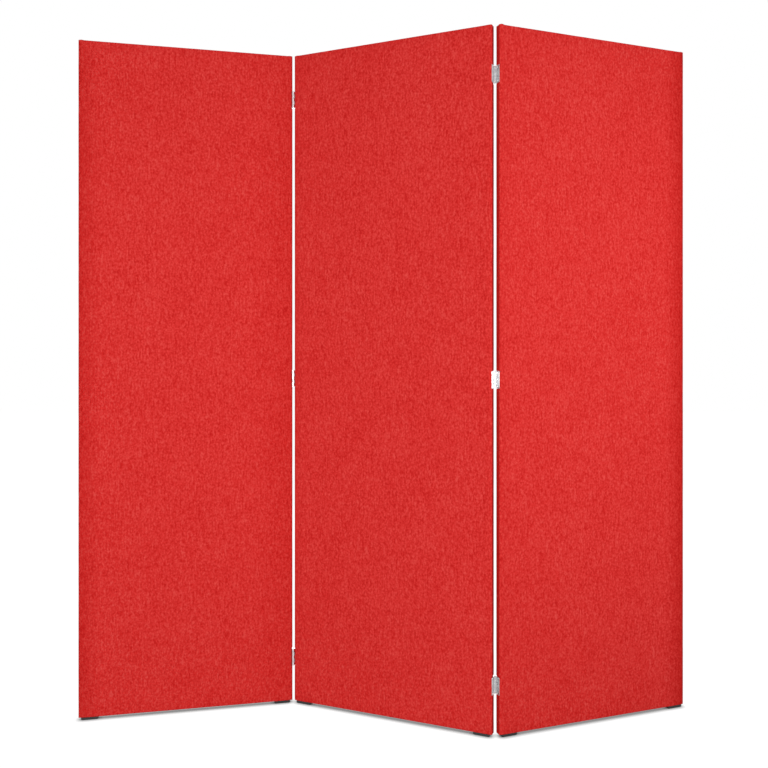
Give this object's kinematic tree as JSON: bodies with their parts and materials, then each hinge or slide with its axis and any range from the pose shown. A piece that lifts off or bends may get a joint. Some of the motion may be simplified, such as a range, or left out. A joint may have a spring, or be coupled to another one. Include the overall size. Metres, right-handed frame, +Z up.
{
  "type": "room divider panel",
  "caption": "Folding screen of felt-covered panels joined by edge butt hinges, standing in a zig-zag on low plastic glides.",
  "frame": {"origin": "on the floor, at the middle of the screen's footprint as it stands open", "axes": "+Z up, +X along the screen's width to the right seen from the front, -Y towards the front"},
  "size_m": [1.4511, 0.2095, 1.6],
  "materials": {
    "felt": "matt heathered felt",
    "wadding": "soft fleece",
    "hardboard": "smooth pressed fibre",
    "softwood": "planed, unfinished",
    "dowel_wood": "planed, unfinished",
    "nickel_steel": "nickel plated",
    "zinc_steel": "zinc plated",
    "glide_plastic": "moulded"
  },
  "bodies": {
    "centre_panel": {"centre_panel_back_board": "hardboard", "centre_panel_bottom_rail": "softwood", "centre_panel_cover": "felt", "centre_panel_cross_rails": "softwood", "centre_panel_dowels": "dowel_wood", "centre_panel_front_board": "hardboard", "centre_panel_glide_screws": "zinc_steel", "centre_panel_glides": "glide_plastic", "centre_panel_left_stile": "softwood", "centre_panel_right_stile": "softwood", "centre_panel_top_rail": "softwood", "centre_panel_wadding": "wadding", "left_hinge_bottom_fixed_leaf": "nickel_steel", "left_hinge_bottom_pin": "nickel_steel", "left_hinge_fixed_screws": "nickel_steel", "left_hinge_middle_fixed_leaf": "nickel_steel", "left_hinge_middle_pin": "nickel_steel", "left_hinge_top_fixed_leaf": "nickel_steel", "left_hinge_top_pin": "nickel_steel", "right_hinge_bottom_fixed_leaf": "nickel_steel", "right_hinge_bottom_pin": "nickel_steel", "right_hinge_fixed_screws": "nickel_steel", "right_hinge_middle_fixed_leaf": "nickel_steel", "right_hinge_middle_pin": "nickel_steel", "right_hinge_top_fixed_leaf": "nickel_steel", "right_hinge_top_pin": "nickel_steel"},
    "left_panel": {"left_hinge_bottom_folding_leaf": "nickel_steel", "left_hinge_folding_screws": "nickel_steel", "left_hinge_middle_folding_leaf": "nickel_steel", "left_hinge_top_folding_leaf": "nickel_steel", "left_panel_back_board": "hardboard", "left_panel_bottom_rail": "softwood", "left_panel_cover": "felt", "left_panel_cross_rails": "softwood", "left_panel_dowels": "dowel_wood", "left_panel_front_board": "hardboard", "left_panel_glide_screws": "zinc_steel", "left_panel_glides": "glide_plastic", "left_panel_left_stile": "softwood", "left_panel_right_stile": "softwood", "left_panel_top_rail": "softwood", "left_panel_wadding": "wadding"},
    "right_panel": {"right_hinge_bottom_folding_leaf": "nickel_steel", "right_hinge_folding_screws": "nickel_steel", "right_hinge_middle_folding_leaf": "nickel_steel", "right_hinge_top_folding_leaf": "nickel_steel", "right_panel_back_board": "hardboard", "right_panel_bottom_rail": "softwood", "right_panel_cover": "felt", "right_panel_cross_rails": "softwood", "right_panel_dowels": "dowel_wood", "right_panel_front_board": "hardboard", "right_panel_glide_screws": "zinc_steel", "right_panel_glides": "glide_plastic", "right_panel_left_stile": "softwood", "right_panel_right_stile": "softwood", "right_panel_top_rail": "softwood", "right_panel_wadding": "wadding"}
  },
  "joints": [
    {"name": "left_fold", "type": "hinge", "parent": "centre_panel", "child": "left_panel", "pos_m": [-0.23023, 0.08495, 0.803], "axis": [0, 0, 1], "range_deg": [-40.3, 145.7]},
    {"name": "right_fold", "type": "hinge", "parent": "centre_panel", "child": "right_panel", "pos_m": [0.2455, -0.08604, 0.803], "axis": [0, 0, 1], "range_deg": [-47.9, 138.1]}
  ]
}
